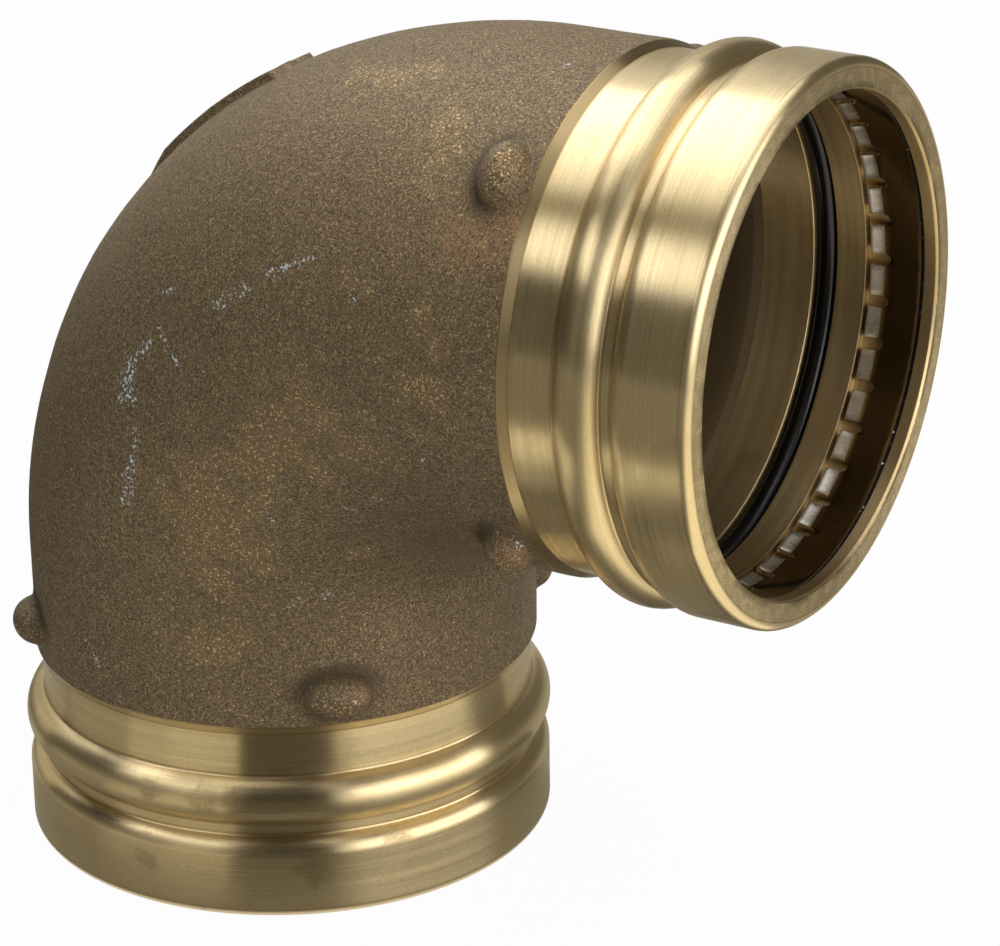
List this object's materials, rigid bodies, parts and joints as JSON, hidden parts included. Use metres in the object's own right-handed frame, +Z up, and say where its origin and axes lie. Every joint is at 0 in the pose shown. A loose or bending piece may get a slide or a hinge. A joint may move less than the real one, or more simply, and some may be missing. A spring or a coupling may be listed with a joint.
{
  "type": "press elbow",
  "caption": "Quarter-turn cast bronze press elbow for large pipe, with two machined sockets, each holding a rubber seal ring and a slotted steel grip ring.",
  "frame": {"origin": "centre of the lower socket's mouth, on the surface that the elbow stands on", "axes": "+Z up along the lower socket's axis, +X along the side socket's axis, out of its mouth"},
  "size_m": [0.2018, 0.1236, 0.2018],
  "materials": {
    "bronze": "rough brown sand-cast skin, with both sockets turned bright",
    "seal_rubber": "smooth black rubber with a soft sheen",
    "grip_steel": "stainless strip, brushed fingers"
  },
  "bodies": {
    "root": {"elbow_body": "bronze", "seal_ring_lower": "seal_rubber", "seal_ring_side": "seal_rubber", "grip_ring_lower": "grip_steel", "grip_ring_side": "grip_steel"}
  },
  "joints": []
}
